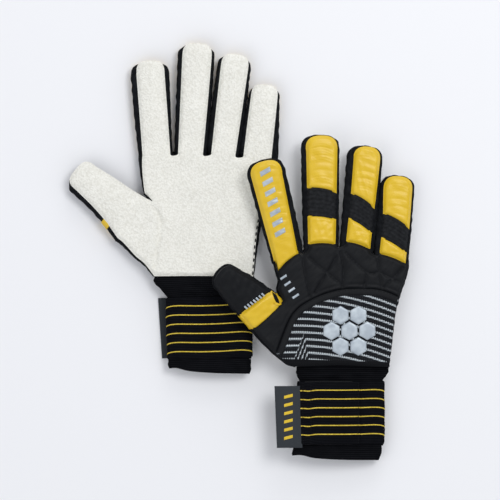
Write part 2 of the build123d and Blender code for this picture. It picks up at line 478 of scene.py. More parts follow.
def far_from(points, lines):
    return np.min([distance(points, line) for line in lines], axis=0)


def panel(name, ring, free, outer, inner, place, face, finish, step=1.0, digit=None):
    """A closed sheet over an outline. free holds its free edges; outer and inner give its depths from
    x, y and the distance to those. A digit's panel takes its pattern from the glove's plane."""
    points, triangles = fill(ring, step)
    gap = far_from(points, free)
    x, y = points.T
    n = len(points)
    top = np.column_stack([x, y, face(outer(x, y, gap))])
    bottom = np.column_stack([x, y, face(inner(x, y, gap) + 0 * x)])
    faces = [*triangles.tolist(), *(triangles[:, ::-1] + n).tolist()]
    faces += [(b, a, a + n, b + n) for a, b in rim_of(triangles)]
    pattern = in_plane(digit, points) if digit else points
    return make_piece(name, np.vstack([top, bottom]), faces, place, np.vstack([pattern, pattern]), finish)


def round_faces(rows, columns, joined_ends=False):
    """Quads between rows of points, from the last row on to the first too, and round rows whose ends join."""
    faces = []
    for i in range(rows):
        here, there = i * columns, (i + 1) % rows * columns
        for j in range(columns if joined_ends else columns - 1):
            k = (j + 1) % columns
            faces.append((here + j, here + k, there + k, there + j))
    return faces


def cloth_faces(rows, columns):
    """A strip of cloth, from its outer skin's rows and then its inner skin's backwards, with its two ends."""
    faces = round_faces(rows, columns)
    for end in (0, columns - 1):
        for i in range(rows // 2 - 1):
            k = rows - 1 - i
            quad = (i, i + 1, k - 1, k)
            faces.append([q * columns + end for q in quad])
    return faces


def stitch_tree():
    """Short threads laid end to end along a line."""
    tree = bpy.data.node_groups.new("row_of_stitches", "GeometryNodeTree")
    tree.interface.new_socket("Line", in_out="INPUT", socket_type="NodeSocketGeometry")
    for name in ("Pitch", "Length", "Thickness"):
        tree.interface.new_socket(name, in_out="INPUT", socket_type="NodeSocketFloat")
    tree.interface.new_socket("Thread", in_out="INPUT", socket_type="NodeSocketMaterial")
    tree.interface.new_socket("Stitches", in_out="OUTPUT", socket_type="NodeSocketGeometry")

    def node(kind, **inputs):
        made = tree.nodes.new(kind)
        for key, value in inputs.items():
            slot = made.inputs[key.replace("_", " ")]
            if isinstance(value, bpy.types.NodeSocket):
                tree.links.new(value, slot)
            else:
                slot.default_value = value
        return made

    given = node("NodeGroupInput").outputs
    line = node("GeometryNodeMeshToCurve", Mesh=given["Line"])
    dots = tree.nodes.new("GeometryNodeResampleCurve")
    dots.mode = "LENGTH"
    tree.links.new(line.outputs["Curve"], dots.inputs["Curve"])
    tree.links.new(given["Pitch"], dots.inputs["Length"])
    size = node("ShaderNodeCombineXYZ", X=given["Length"], Y=given["Thickness"], Z=given["Thickness"])
    ball = node("GeometryNodeMeshIcoSphere", Radius=0.5, Subdivisions=2)
    bead = node("GeometryNodeTransform", Geometry=ball.outputs["Mesh"], Scale=size.outputs["Vector"])
    along = node("GeometryNodeInputTangent")
    turn = tree.nodes.new("FunctionNodeAlignRotationToVector")
    turn.axis = "X"
    tree.links.new(along.outputs["Tangent"], turn.inputs["Vector"])
    laid = node("GeometryNodeInstanceOnPoints", Points=dots.outputs["Curve"],
                Instance=bead.outputs["Geometry"], Rotation=turn.outputs["Rotation"])
    real = node("GeometryNodeRealizeInstances", Geometry=laid.outputs["Instances"])
    done = node("GeometryNodeSetMaterial", Geometry=real.outputs["Geometry"], Material=given["Thread"])
    node("NodeGroupOutput", Stitches=done.outputs["Geometry"])
    return tree


def stitches(name, line, place, pitch, length, thickness, body):
    """A row of black stitches on a line in a glove's plane, as a piece of its own."""
    mesh = bpy.data.meshes.new(name)
    mesh.from_pydata(np.asarray(line).tolist(), [(i, i + 1) for i in range(len(line) - 1)], [])
    carrier = bpy.data.objects.new(name + "_line", mesh)
    bpy.context.collection.objects.link(carrier)
    maker = carrier.modifiers.new("stitches", "NODES")
    maker.node_group = STITCH_TREE
    values = {"Pitch": pitch, "Length": length, "Thickness": 2 * thickness, "Thread": black_thread}
    for item in STITCH_TREE.interface.items_tree:
        if item.name in values:
            maker[item.identifier] = values[item.name]
    sewn = bpy.data.meshes.new_from_object(carrier.evaluated_get(bpy.context.evaluated_depsgraph_get()))
    points = np.array([v.co[:] for v in sewn.vertices])
    faces = [tuple(p.vertices) for p in sewn.polygons]
    bpy.data.objects.remove(carrier)
    piece = make_piece(name, points, faces, place, points[:, :2], black_thread)
    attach(piece, body)


def bend_with(piece, glove, digit):
    """Bakes a digit's soft piece's transform into its mesh; the points on the digit's middle line at
    BEND_FROM and BEND_TO are worked out but not used.
    """
    place = digit_place(glove, digit)
    world_point(place, BEND_FROM)
    world_point(place, BEND_TO)
    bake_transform(piece)


# ---------------------------------------------------------------------------------------------
# Finishes


class Wire:
    """A socket that arithmetic works on. Each operation adds a Math node."""

    def __init__(self, tree, socket):
        self.tree = tree
        self.socket = socket

    def do(self, operation, *others):
        node = self.tree.nodes.new("ShaderNodeMath")
        node.operation = operation
        for slot, value in zip(node.inputs, (self, *others)):
            if isinstance(value, Wire):
                self.tree.links.new(value.socket, slot)
            else:
                slot.default_value = value
        return Wire(self.tree, node.outputs[0])

    def __add__(self, other):
        return self.do("ADD", other)

    def __mul__(self, other):
        return self.do("MULTIPLY", other)

    def __sub__(self, other):
        return self.do("SUBTRACT", other)

    def __truediv__(self, other):
        return self.do("DIVIDE", other)

    def __rsub__(self, other):
        return (self * -1.0) + other

    __radd__ = __add__
    __rmul__ = __mul__

    def abs(self):
        return self.do("ABSOLUTE")

    def sin(self):
        return self.do("SINE")

    def wave(self, size):
        """From 0 to 1 and back, over and over, each time in size."""
        return (self * (math.tau / size)).sin() * 0.5 + 0.5

    def part(self):
        return self.do("FRACT")

    def above(self, low, high):
        """0 below low, 1 above high, smooth between."""
        node = self.tree.nodes.new("ShaderNodeMapRange")
        node.interpolation_type = "SMOOTHSTEP"
        self.tree.links.new(self.socket, node.inputs["Value"])
        node.inputs["From Min"].default_value = low
        node.inputs["From Max"].default_value = high
        return Wire(self.tree, node.outputs["Result"])

    def at_least(self, other):
        return self.do("MAXIMUM", other)


class Finish:
    """A material in the making. Its pattern lies, in millimetres, on a piece's own coordinates or on a CAD
    node's place."""

    def __init__(self, name, roughness=0.6, on_cad=False, **constants):
        self.material = bpy.data.materials.new(name)
        self.material.use_nodes = True
        self.tree = self.material.node_tree
        self.shader = self.tree.nodes["Principled BSDF"]
        self.shader.inputs["Roughness"].default_value = roughness
        for socket, value in constants.items():
            self.shader.inputs[socket.replace("_", " ")].default_value = value
        if on_cad:
            spot, grow = self.node("ShaderNodeTexCoord").outputs["Object"], 1 / MM
        else:
            spot, grow = self.node("ShaderNodeUVMap", {"uv_map": "Pattern"}).outputs["UV"], 1 / UV_PER_MM
        grown = self.node("ShaderNodeVectorMath", {"operation": "SCALE"}, Vector=spot, Scale=grow)
        self.place = grown.outputs["Vector"]
        apart = self.node("ShaderNodeSeparateXYZ", {}, Vector=self.place)
        self.u = Wire(self.tree, apart.outputs["X"])
        self.v = Wire(self.tree, apart.outputs["Y"])

    def node(self, kind, settings=None, **inputs):
        node = self.tree.nodes.new(kind)
        for key, value in (settings or {}).items():
            setattr(node, key, value)
        for key, value in inputs.items():
            self.feed(node.inputs[key.replace("_", " ")], value)
        return node

    def feed(self, slot, value):
        if isinstance(value, Wire):
            value = value.socket
        if isinstance(value, bpy.types.NodeSocket):
            self.tree.links.new(value, slot)
        else:
            slot.default_value = value

    def noise(self, size, detail=3.0, roughness=0.55):
        node = self.node("ShaderNodeTexNoise", {}, Vector=self.place, Scale=1.0 / size, Detail=detail,
                         Roughness=roughness)
        return Wire(self.tree, node.outputs["Fac"])

    def cells(self, size, feature="F1", spread=1.0):
        node = self.node("ShaderNodeTexVoronoi", {"feature": feature}, Vector=self.place, Scale=1.0 / size,
                         Randomness=spread)
        return Wire(self.tree, node.outputs["Distance"])

    def mix(self, factor, a, b):
        node = self.tree.nodes.new("ShaderNodeMix")
        node.data_type = "RGBA"
        self.feed(node.inputs[0], factor)
        for slot, value in ((node.inputs[6], a), (node.inputs[7], b)):
            self.feed(slot, (*value, 1.0) if isinstance(value, tuple) else value)
        return node.outputs[2]

    def colour(self, value):
        self.feed(self.shader.inputs["Base Color"], (*value, 1.0) if isinstance(value, tuple) else value)

    def rough(self, value):
        self.feed(self.shader.inputs["Roughness"], value)

    def bump(self, height, depth, strength=1.0):
        """Height from 0 to 1 stands for depth millimetres."""
        node = self.node("ShaderNodeBump", {}, Height=height, Distance=depth * MM, Strength=strength)
        self.tree.links.new(node.outputs["Normal"], self.shader.inputs["Normal"])
        return self.material


BLACK = (0.0052, 0.0058, 0.0072)
YELLOW = (0.70, 0.455, 0.012)


def latex_finish():
    f = Finish("palm_latex_foam", 0.78, Specular_IOR_Level=0.3)
    pebble = f.cells(1.5, "SMOOTH_F1")
    fine = f.noise(0.8, 4.0)
    stain = f.noise(22.0, 3.0)
    height = pebble * 0.75 + fine * 0.5
    tone = f.mix(stain.above(0.3, 0.75), (0.86, 0.85, 0.785), (0.905, 0.895, 0.83))
    # painted shade: the pits of the pebble grain are painted darker, over the latex's own cloudy tone
    f.colour(f.mix(height.above(0.3, 0.85) * 0.42, tone, (0.58, 0.56, 0.48)))
    f.rough(0.7 + stain * 0.15)
    return f.bump(1.0 - height, 0.8)


def yellow_finish():
    f = Finish("yellow_coated_pad", 0.33, Specular_IOR_Level=0.45)
    grain = f.cells(0.7, "SMOOTH_F1") * 0.5 + f.noise(1.4, 4.0) * 0.6
    worn = f.noise(14.0, 3.0)
    f.colour(f.mix(worn.above(0.35, 0.8), YELLOW, (0.75, 0.505, 0.024)))
    f.rough(0.28 + worn * 0.16)
    return f.bump(grain, 0.10)


def backhand_finish():
    f = Finish("black_embossed_panel", 0.5, Specular_IOR_Level=0.13)
    grain = f.cells(0.8, "SMOOTH_F1") * 0.6 + f.noise(0.5, 4.0) * 0.5
    worn = f.noise(16.0, 3.0)
    f.colour(f.mix(worn.above(0.3, 0.8), BLACK, (0.0085, 0.0095, 0.011)))
    f.rough(0.42 + worn * 0.2)
    return f.bump(grain, 0.12)


def gusset_finish():
    f = Finish("black_stretch_gusset", 0.85, Specular_IOR_Level=0.06)
    wales = f.u.wave(0.9)
    rows = f.v.wave(0.9)
    f.colour(f.mix(f.noise(5.0).above(0.3, 0.8), BLACK, (0.014, 0.0155, 0.018)))
    return f.bump(wales * 0.5 + rows * 0.5, 0.2)


def rib_finish():
    f = Finish("black_flex_rib", 0.62, Specular_IOR_Level=0.14)
    weave = (f.u * (math.tau / 0.7)).sin() * 0.4 + f.noise(0.6) * 0.6
    f.colour(f.mix(f.noise(3.0).above(0.3, 0.8), BLACK, (0.017, 0.0185, 0.021)))
    return f.bump(weave, 0.12)


def elastic(f, pitch):
    """Ribs across the cuff, with the small loops of a woven elastic between them."""
    rib = f.v.wave(pitch)
    loops = f.u.wave(0.8)
    return rib * 0.75 + loops * 0.2 + f.noise(0.8) * 0.15


def sleeve_finish():
    f = Finish("black_elastic_sleeve", 0.85, Specular_IOR_Level=0.02)
    weave = elastic(f, 1.7)
    f.colour(f.mix(weave.above(0.2, 1.0) * f.noise(9.0), (0.0028, 0.003, 0.004), (0.013, 0.0135, 0.016)))
    return f.bump(weave, 0.45)


def strap_finish(name, first, last):
    f = Finish(f"striped_elastic_{name}", 0.8, Specular_IOR_Level=0.02)
    weave = elastic(f, 1.35)
    pitch = (first - last) / (PINSTRIPES - 1)
    bend = ((f.u / 80.0).part() - 0.5) * 2.0
    square = bend * bend
    wave = square * square * 2.0 + (bend * math.tau + math.pi / 2).sin() * 0.35
    down = ((f.v + wave) * -1.0 + (first + pitch / 2)) / pitch
    off = (down.part() - 0.5).abs() * pitch
    line = off.above(0.56, 0.34) * down.above(0.0, 0.01) * down.above(PINSTRIPES, PINSTRIPES - 0.01)
    thread = f.mix(f.noise(1.2).above(0.35, 0.7), (0.58, 0.42, 0.045), (0.80, 0.61, 0.10))
    black = f.mix(weave.above(0.2, 1.0) * f.noise(9.0), (0.0028, 0.003, 0.0042), (0.012, 0.0125, 0.0155))
    f.colour(f.mix(line, black, thread))
    return f.bump(weave + line * 0.5, 0.32)


def knit_finish():
    """Black jersey with pale slanting stripes that turn down in nested corners at the thumb side."""
    f = Finish("striped_knit", 0.8, Specular_IOR_Level=0.1)
    corner_u, corner_v = -33.5, 32.1
    pitch, side_pitch, lean = 5.75, 3.2, 0.38
    slope, bow = 0.2, 0.0024
    loop = (f.u / 1.9).part() - 0.5
    zigzag = loop.abs() * 1.5
    level = f.v + f.u * slope + f.u * f.u * bow + zigzag
    first = corner_v + corner_u * slope + corner_u**2 * bow
    rows = (level - first) / pitch
    columns = (f.u - (f.v - corner_v) * lean - corner_u + zigzag) / side_pitch
    turned = rows.at_least(columns * -1.0)
    nested = rows.above(0.02, -0.02) * columns.above(-0.02, 0.02)
    phase = turned.part() * nested + rows.part() * (1.0 - nested)
    off = (phase - 0.5).abs() + f.noise(2.2, 2.0) * 0.05
    line = off.above(0.355, 0.40)
    hem = (f.v + f.u * 0.035).above(7.6, 7.2)
    stitch = (((f.v + zigzag) / 1.5).part() - 0.5).abs() * 2.0
    stitch = stitch * 0.5 + (1.0 - loop.abs() * 2.0) * 0.5
    line = line * (1.0 - hem)
    pale = f.mix(stitch.above(0.25, 0.65), (0.12, 0.14, 0.155), (0.62, 0.67, 0.70))
    dark = f.mix(stitch.above(0.5, 0.85) * (1.0 - hem), (0.006, 0.0065, 0.008), (0.030, 0.033, 0.038))
    f.colour(f.mix(line, dark, pale))
    return f.bump(stitch + line * 0.5, 0.55)


def silver_finish():
    f = Finish("silver_silicone_print", 0.38, Metallic=0.25)
    shade = f.noise(9.0, 2.0)
    f.colour(f.mix(shade.above(0.3, 0.75), (0.36, 0.41, 0.46), (0.52, 0.58, 0.62)))
    return f.bump(f.noise(0.6), 0.06)


def webbing_finish():
    f = Finish("grey_woven_tab", 0.78, Specular_IOR_Level=0.2)
    a = (f.u * (math.tau / 0.9)).sin()
    b = (f.v * (math.tau / 0.9)).sin()
    weave = (a * b) * 0.5 + 0.5
    f.colour(f.mix(weave, (0.022, 0.026, 0.031), (0.045, 0.051, 0.058)))
    return f.bump(weave, 0.2)


def thread_finish(name, colour):
    f = Finish(name, 0.7, Specular_IOR_Level=0.1)
    twist = (f.u + f.v).wave(0.5)
    f.colour(f.mix(twist, tuple(0.8 * c for c in colour), colour))
    return f.bump(twist, 0.05)


def hook_finish():
    f = Finish("hook_tape", 0.6, on_cad=True)
    hooks = f.cells(1.0, "F1", 0.2)
    f.colour(f.mix(hooks, (0.03, 0.03, 0.032), (0.008, 0.008, 0.009)))
    return f.bump(1.0 - hooks, 0.4)


latex = latex_finish()
yellow = yellow_finish()
backhand = backhand_finish()
gusset = gusset_finish()
ribbed = rib_finish()
sleeve_cloth = sleeve_finish()
knit = knit_finish()
silver = silver_finish()
webbing = webbing_finish()
black_thread = thread_finish("black_thread", (0.008, 0.0085, 0.01))
yellow_thread = thread_finish("yellow_thread", (0.80, 0.55, 0.05))
hooks = hook_finish()
STITCH_TREE = stitch_tree()
straps = {name: strap_finish(name, *cuff.stripes) for name, cuff in CUFFS.items()}


# ---------------------------------------------------------------------------------------------
# Digits


FLAT_FROM = 9.0  # from an edge, past its roll
PAD_SHORT = 0.8  # how much a back pad's tip ends before the digit's
BAND_RISE = 1.6  # of a flex band's edges in their middle, towards the tip
BAND_RIBS = 6
THUMB_SPLIT = (17.3, 9.8)  # y of the edge between the thumb's cap and band: left, right


def side_line(offsets, digit, low, high):
    """One side of a digit's outline, from y = low to y = high."""
    y = np.linspace(0, digit.length - digit.snub, len(offsets))
    line = curve(np.column_stack([offsets, y]))
    at = np.linspace(low, high, max(int((high - low) / 1.0), 2) + 1)
    return np.column_stack([np.interp(at, line[:, 1], line[:, 0]), at])


def tip_line(digit, left, right, short=0.0, power=2.5):
    """The rounded tip, from the left side over the top to the right side."""
    t = np.linspace(math.pi, 0, 29)
    c, s = np.cos(t), np.sin(t)
    middle, half = (left + right) / 2, (right - left) / 2
    x = middle + half * np.sign(c) * np.abs(c) ** (2 / power)
    y = digit.length - digit.snub + (digit.snub - short) * np.abs(s) ** (2 / power)
    return spaced(np.column_stack([x, y]), 0.9)


def digit_rim(digit, rim, short=0.0, power=2.5):
    """A digit panel's free edge: up its left side, round the tip and down its right side."""
    high = digit.length - digit.snub
    left = side_line(rim.left, digit, rim.base[0], high)
    right = side_line(rim.right, digit, rim.base[1], high)[::-1]
    return joined(left, tip_line(digit, rim.left[-1], rim.right[-1], short, power), right)


def base_line(start, end, arch):
    """The lower edge of a digit's panel, arched in its middle."""
    t = np.linspace(0, 1, max(int(np.linalg.norm(end - start)), 3) + 1)[:, None]
    line = start + (end - start) * t
    line[:, 1] += (4 * arch * t * (1 - t))[:, 0]
    return line


def rim_on(glove, digit, on_palm):
    """The rim of a digit's palm or back panel."""
    if on_palm == glove.palm_up:
        return digit.seen
    inset, base = 2.4, 0.5 if on_palm else 4.0
    left = tuple(x + inset for x in digit.outer.left)
    right = tuple(x - inset for x in digit.outer.right)
    return Rim(left, right, (base, base))


def across_share(digit, x, y, rim):
    """0 on a digit's middle line, 1 at its sides."""
    ys = np.linspace(0, digit.length - digit.snub, len(rim.left))
    left = np.interp(y, ys, rim.left)
    right = np.interp(y, ys, rim.right)
    return np.abs(2 * (x - left) / (right - left) - 1)


def make_digit_latex(glove, digit):
    rim = rim_on(glove, digit, True)
    edge = digit_rim(digit, rim, 0.0, 3.3) if glove.palm_up else digit_rim(digit, rim, 1.0)
    ring = joined(edge, base_line(edge[-1], edge[0], 0.0)[:-1])
    seed = len(digit.name) * 7 + glove.palm_up

    def outer(x, y, gap):
        settle = ease((y - 1.0) / 12.0)
        crown = 2.4 * across_share(digit, x, y, rim) ** 1.9
        roll = 1.7 * (1 - ease(gap / 3.4)) ** 1.5
        waves = 0.16 * ripple(x, 0.6 * y, 9.0, seed) + 0.12 * ripple(x, y, 4.0, seed + 1)
        tip = 1.1 * ease((y - digit.length + 16.0) / 16.0) ** 2
        return 0.25 + crown * settle + tip + roll + waves * settle

    def inner(x, y, gap):
        return np.maximum(LATEX, outer(x, y, gap) + 1.2)

    piece = panel(f"{glove.name}_{digit.name}_latex_skin", ring, [edge], outer, inner,
                  digit_place(glove, digit), face_of(glove, True), latex, 1.15, digit)
    bend_with(piece, glove, digit)
    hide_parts(f"{glove.name}_{digit.name}_latex")


def inner_face(thickness):
    """A panel's inner side, at the same depth all over."""
    return lambda x, y, gap: thickness


def away_from_edges(depth):
    """The depths of a panel's face as if no edge were near."""
    return lambda x, y: depth(x, y, np.full(np.shape(x), FLAT_FROM))


def pad_outer(digit, rim, seed, ribs=True):
    """The puffed face of a coated pad, with cross ribs pressed into it."""

    def outer(x, y, gap):
        share = across_share(digit, x, y, rim)
        crown = 1.3 * share**2.6
        roll = 2.6 * (1 - ease(gap / 3.8)) ** 1.6
        body = ease(gap / 4.5)
        beat = 0.5 + 0.5 * np.sin(math.tau * (y + 0.02 * x * x + 0.6 * np.sin(y / 9.0 + seed)) / 6.4)
        fade = ease((0.93 - share) / 0.35) * body
        fine = 0.5 + 0.5 * np.sin(math.tau * (y + 0.03 * x * x + 0.05 * x) / 2.3)
        group = ease(0.5 + 0.8 * ripple(0 * x, y, 21.0, seed + 5))
        wide = 0.42 * (1 - beat) ** 3 * fade * (0.5 + 0.5 * ripple(0 * x, y, 23.0, seed))
        cross = wide + 0.22 * fine**2 * fade * group
        waves = 0.22 * ripple(x, y, 7.0, seed + 3) * body
        return 0.2 + crown + roll + (cross if ribs else 0) + waves

    return outer


def band_edge(digit, rim, ends, rise=BAND_RISE):
    """A flex band's edge across the digit, arched towards the tip."""
    y = np.linspace(0, digit.length - digit.snub, len(rim.left))
    left = np.array([np.interp(ends[0], y, rim.left), ends[0]])
    right = np.array([np.interp(ends[1], y, rim.right), ends[1]])
    return base_line(left, right, rise)


def make_flat_pad(glove, digit, name, ring, rim, seed, finish=None, ribs=True, node=None):
    """A puffed pad on a digit's back, coated yellow unless another finish is given."""
    piece = panel(name, ring, [closed(ring)], pad_outer(digit, rim, seed, ribs), inner_face(PAD),
                  digit_place(glove, digit), face_of(glove, False), finish or yellow, 0.95)
    bend_with(piece, glove, digit)
    if node:
        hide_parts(node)


def make_digit_back(glove, digit):
    rim = rim_on(glove, digit, False)
    high = digit.length - digit.snub
    tip = tip_line(digit, rim.left[-1], rim.right[-1], PAD_SHORT)
    stem = f"{glove.name}_{digit.name}"
    seed = len(digit.name) * 3 + 11 * glove.palm_up
    base_left, base_right = rim.base
    low = base_line(side_line(rim.left, digit, base_left, base_left + 1)[0],
                    side_line(rim.right, digit, base_right, base_right + 1)[0], rim.arch)
    if digit.band:
        (up_left, up_right), (down_left, down_right) = digit.band
        top, bottom = band_edge(digit, rim, digit.band[0]), band_edge(digit, rim, digit.band[1])
        ring = joined(side_line(rim.left, digit, up_left, high), tip,
                      side_line(rim.right, digit, up_right, high)[::-1], top[::-1])[:-1]
        make_flat_pad(glove, digit, f"{stem}_upper_pad", ring, rim, seed, node=f"{stem}_back_pads")
        ring = joined(side_line(rim.left, digit, base_left, down_left), bottom,
                      side_line(rim.right, digit, base_right, down_right)[::-1], low[::-1])[:-1]
        make_flat_pad(glove, digit, f"{stem}_lower_pad", ring, rim, seed + 1)
        make_flex_band(glove, digit, rim)
        return
    ring = joined(side_line(rim.left, digit, base_left, high), tip,
                  side_line(rim.right, digit, base_right, high)[::-1], low[::-1])[:-1]
    make_flat_pad(glove, digit, f"{stem}_long_pad", ring, rim, seed, node=f"{stem}_back_pad")
    bars = [bar((-2.4, 20.5 + 9.0 * k), 9.5, 4.2, 1.3) for k in range(7)]
    make_marks(glove, digit, away_from_edges(pad_outer(digit, rim, seed)), bars, 0.35)


def make_flex_band(glove, digit, rim):
    """The ribbed band between two pads, a little lower than they are."""
    (up_left, up_right), (down_left, down_right) = digit.band
    lap = 1.2
    wide = Rim(tuple(x - 0.5 for x in rim.left), tuple(x + 0.5 for x in rim.right), rim.base)
    left = side_line(wide.left, digit, down_left - lap, up_left + lap)
    right = side_line(wide.right, digit, down_right - lap, up_right + lap)[::-1]
    upper_edge = base_line(left[-1], right[0], BAND_RISE)
    lower_edge = base_line(right[-1], left[0], BAND_RISE)
    ring = joined(left, upper_edge, right, lower_edge)[:-1]
    tall = 0.5 * (up_left + up_right - down_left - down_right)
    slope = ((up_right - up_left) + (down_right - down_left)) / 2 / (rim.right[1] - rim.left[1])

    def outer(x, y, gap):
        share = across_share(digit, x, y, rim)
        level = y - (down_left + down_right) / 2 - slope * x - BAND_RISE * (1 - share**2)
        rib = 0.5 + 0.5 * np.cos(math.tau * level / (tall / BAND_RIBS))
        roll = 1.6 * (1 - ease(gap / 2.5)) * (share > 0.7)
        return 1.5 + 1.2 * share**2.6 + roll + 0.55 * (1 - rib) ** 2

    stem = f"{glove.name}_{digit.name}"
    piece = panel(f"{stem}_ribbed_band", ring, [closed(ring)], outer, inner_face(PAD),
                  digit_place(glove, digit), face_of(glove, False), ribbed, 0.8)
    bend_with(piece, glove, digit)
    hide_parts(f"{stem}_flex_band")


def patch(name, ring, surface, place, face, finish, lift, edge=0.5):
    """A thin raised shape laid on a surface, given the surface's depth at x, y."""
    ring = joined(*(spaced(side, 0.7) for side in zip(ring, [*ring[1:], ring[0]])))[:-1]

    def outer(x, y, gap):
        return surface(x, y) - lift * ease(0.25 + gap / edge)

    def inner(x, y, gap):
        return surface(x, y) + 0.4

    return panel(name, ring, [closed(ring)], outer, inner, place, face, finish, 1.2)


def bar(centre, width, tall, lean):
    """A slanted bar's corners."""
    x, y = centre
    w, h = width / 2, tall / 2
    return [(x - w, y - h - lean), (x + w, y - h + lean), (x + w, y + h + lean), (x - w, y + h - lean)]


def make_marks(glove, digit, surface, bars, lift):
    """Plain bars printed on a digit's back."""
    for k, corners in enumerate(bars):
        piece = patch(f"{glove.name}_{digit.name}_mark_{k + 1}", corners, surface, digit_place(glove, digit),
                      face_of(glove, False), silver, lift)
        bend_with(piece, glove, digit)


def make_thumb_back(glove, digit):
    """The thumb's back: a smooth black cap, and below it a yellow band with a folded corner."""
    rim = rim_on(glove, digit, False)
    high = digit.length - digit.snub
    stem = f"{glove.name}_{digit.name}"
    left_split, right_split = THUMB_SPLIT
    tip = tip_line(digit, rim.left[-1], rim.right[-1], PAD_SHORT)
    middle = band_edge(digit, rim, THUMB_SPLIT, 1.0)
    ring = joined(side_line(rim.left, digit, left_split, high), tip,
                  side_line(rim.right, digit, right_split, high)[::-1], middle[::-1])[:-1]
    make_flat_pad(glove, digit, f"{stem}_cap", ring, rim, 5, backhand, ribs=False, node=f"{stem}_back_cap")
    slope = (right_split - left_split) / (rim.right[1] - rim.left[1])
    bars = [bar((x, 19.0 + slope * (x + 14.0)), 1.5, 3.4, 0.0) for x in np.linspace(-9.5, 8.5, 7)]
    make_marks(glove, digit, away_from_edges(pad_outer(digit, rim, 5, False)), bars, 0.25)
    base_left, base_right = (1.0, -3.0) if glove.palm_up else rim.base
    low = np.array([[rim.left[0] + 1.5, base_left], [rim.right[0] - 1.0, base_right]])
    low = base_line(*low, -0.8)
    left_end = np.interp(left_split, (0, high), (rim.left[0], rim.left[-1]))
    left = curve([low[0], (rim.left[0] - 0.3, base_left + 4.5), (left_end, left_split - 0.4)])
    right = curve([(rim.right[0] - 0.6, right_split - 0.4), (rim.right[0] + 0.2, base_right + 6.0), low[-1]])
    ring = joined(left, middle - (0, 0.4), right, low[::-1])[:-1]
    make_flat_pad(glove, digit, f"{stem}_band", ring, rim, 9, ribs=False, node=f"{stem}_back_band")
    make_band_fold(glove, digit, pad_outer(digit, rim, 9, False), rim.right[0])
    make_band_wrap(glove, digit)


def make_band_fold(glove, digit, depth, end):
    """The slit near the band's inner end and the fold of the band round it. end is x of the band's end."""

    def near_edge(x, y):
        return depth(x, y, np.clip(end - x, 0.2, FLAT_FROM))

    slit = [(-1.2, 8.6), (-0.4, 4.6), (-2.2, 0.4), (-4.6, -2.6), (-5.6, 0.6), (-4.2, 4.4)]
    fold = [(-0.4, 4.6), (0.9, 4.2), (-0.6, -1.0), (-4.0, -4.6), (-6.6, -3.2), (-8.2, 2.0), (-6.8, 2.4),
            (-5.6, -1.8), (-4.4, -2.9), (-2.2, 0.2)]
    for part, ring, finish, lift, slot in (("slit", slit, gusset, 0.5, "gusset_cloth"),
                                           ("fold", fold, yellow, 1.5, "yellow_pad")):
        ring = [(end + x, y) for x, y in ring]
        piece = patch(f"{glove.name}_{digit.name}_band_{part}", ring, near_edge, digit_place(glove, digit),
                      face_of(glove, False), finish, lift, 1.0)
        bend_with(piece, glove, digit)


def make_band_wrap(glove, digit):
    """The end of the yellow band, which goes round the thumb's outer side."""
    low, high = (13.0, 20.5) if glove.palm_up else (0.5, 15.8)
    rims = ((rim_on(glove, digit, True), 0.6), (digit.outer, 0.0), (rim_on(glove, digit, False), 0.6))
    palm, outer, back = ((side_line(rim.left, digit, low, high) + (inset, 0.0))[::-1] for rim, inset in rims)
    piece = make_gusset(f"{glove.name}_{digit.name}_band_wrap", palm, outer, back, digit_place(glove, digit),
                        glove, DIGIT_SEAM, finish=yellow, grow=0.55)
    bend_with(piece, glove, digit)


def make_gusset(name, palm_edge, outer, back_edge, place, glove, seam, node=None, finish=None, grow=0.0):
    """The cloth between a palm panel's edge and a back panel's, bulging out to the outer line. seam is the
    depth of its palm edge. grow puts it that much outside the line."""
    count = max(len(palm_edge), len(outer), len(back_edge))
    palm_edge, outer, back_edge = (spaced(line, count=count) for line in (palm_edge, outer, back_edge))
    start, end = face_of(glove, True)(seam), face_of(glove, False)(BACK_SEAM_DEPTH)
    along, normal = lengths(outer), sideways(outer)
    side = -1 if grow else 1
    skins = []
    for skin in (0.0, CLOTH):
        rows = []
        for s in np.linspace(0, 1, GUSSET_ROWS):
            weight = math.sin(math.pi * s) ** 0.62
            flat = (palm_edge * (1 - s) + back_edge * s) * (1 - weight) + outer * weight
            pucker = 0.28 * ripple(along, along * 0 + s * 9, 7.0, len(name)) * weight
            flat = flat + normal * (side * (skin - CLOTH + grow - pucker))[:, None]
            rows.append(np.column_stack([flat, np.full(count, start * (1 - s) + end * s)]))
        skins.append(rows)
    rows = skins[0] + skins[1][::-1]
    pattern = [np.column_stack([along, np.full(count, 20.0 * i / GUSSET_ROWS)]) for i in range(len(rows))]
    piece = make_piece(name, np.vstack(rows), cloth_faces(len(rows), count), place, np.vstack(pattern),
                       finish or gusset)
    if node:
        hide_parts(node)
    return piece


FINGERS = ("index", "middle", "ring", "little")


def digit_named(glove, name):
    return next(d for d in glove.digits if d.name == name)


def corner(glove, digit, on_palm, side):
    """The lower corner of a digit's panel in the glove's plane: side 0 is the left."""
    rim = rim_on(glove, digit, on_palm)
    line = digit_rim(digit, rim)
    return in_plane(digit, line[:1] if side == 0 else line[-1:])[0]


def notch(start, end):
    """The round notch of a crotch between two digits' corners, from start to end, below them."""
    middle, reach = (start + end) / 2, (end - start) / 2
    down = np.array([reach[1], -reach[0]])
    if down[1] > 0:
        down = -down
    t = np.linspace(0, math.pi, 13)[:, None]
    across = np.sign(np.cos(t)) * np.abs(np.cos(t)) ** 0.7
    return middle - reach * across + down * np.abs(np.sin(t)) ** 0.7 * 0.62


def crotch_arc(glove, digit, side, inset):
    """The digit's half of the round crotch beside it, drawn in or out from its middle: side 0 is the left."""
    beside = digit_named(glove, FINGERS[FINGERS.index(digit.name) + (1 if side else -1)])
    here, there = corner(glove, digit, True, side), corner(glove, beside, True, 1 - side)
    arc = in_digit(digit, notch(here, there) if side else notch(there, here))
    half = arc[: len(arc) // 2 + 1] if side else arc[len(arc) // 2 :]
    centre = in_digit(digit, [(there + here) / 2])[0]
    return centre + (half - centre) * inset


